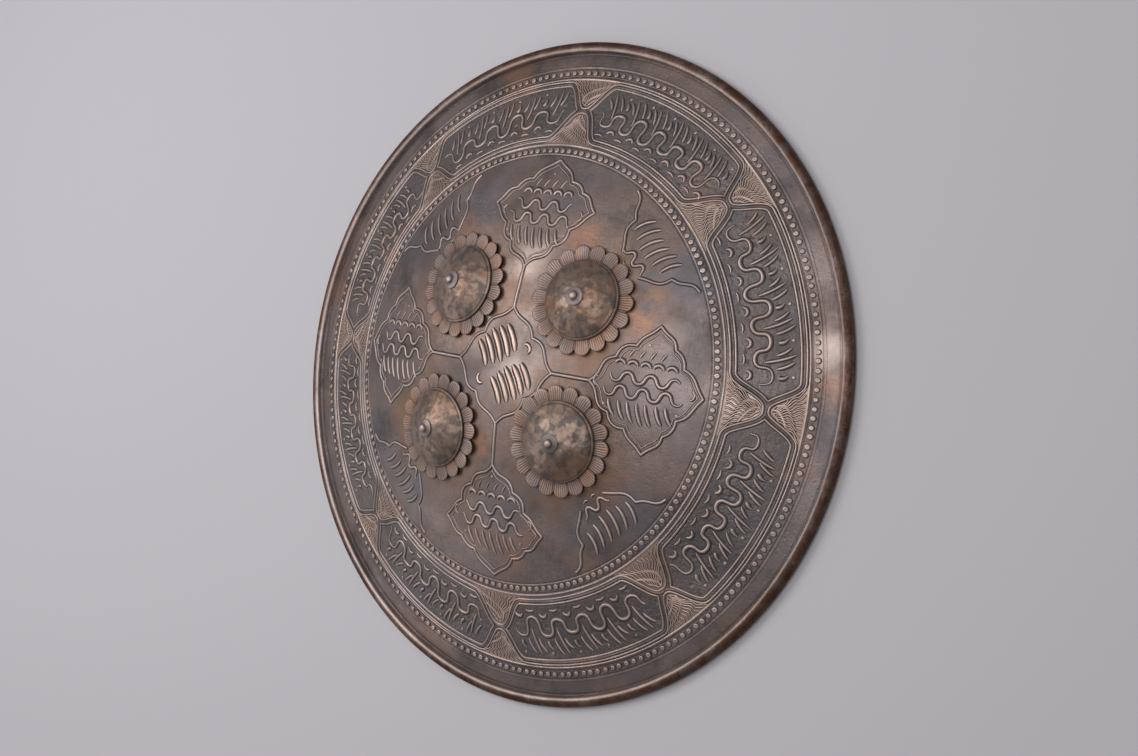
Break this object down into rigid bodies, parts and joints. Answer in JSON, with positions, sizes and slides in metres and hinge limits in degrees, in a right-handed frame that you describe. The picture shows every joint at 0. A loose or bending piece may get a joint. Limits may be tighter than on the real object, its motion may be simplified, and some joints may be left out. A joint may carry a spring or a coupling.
{
  "type": "buckler shield",
  "caption": "Round domed steel buckler with a flared border, rolled rim, panelled ornament band, lobed cartouches and petalled bosses.",
  "frame": {"origin": "on the shield's axis, level with the foot of its rim", "axes": "+Z out of the dome along the shield's axis; +X and +Y run through the middles of the lobed cartouches, and the bosses lie near the diagonals between them"},
  "size_m": [0.46, 0.46, 0.0734],
  "materials": {
    "plate_steel": "darkened steel plate with a brown patina, raised lines worn bright and pinkish",
    "washer_steel": "worn brown steel with fine lines from the centre out to each petal",
    "boss_steel": "dark brown hammered steel",
    "rivet_steel": "steel worn smooth and bright on top"
  },
  "bodies": {
    "root": {"shield_bowl": "plate_steel", "petal_washer_ne": "washer_steel", "petal_washer_nw": "washer_steel", "petal_washer_sw": "washer_steel", "petal_washer_se": "washer_steel", "boss_ne": "boss_steel", "boss_nw": "boss_steel", "boss_sw": "boss_steel", "boss_se": "boss_steel", "rivet_ne": "rivet_steel", "rivet_nw": "rivet_steel", "rivet_sw": "rivet_steel", "rivet_se": "rivet_steel"}
  },
  "joints": []
}
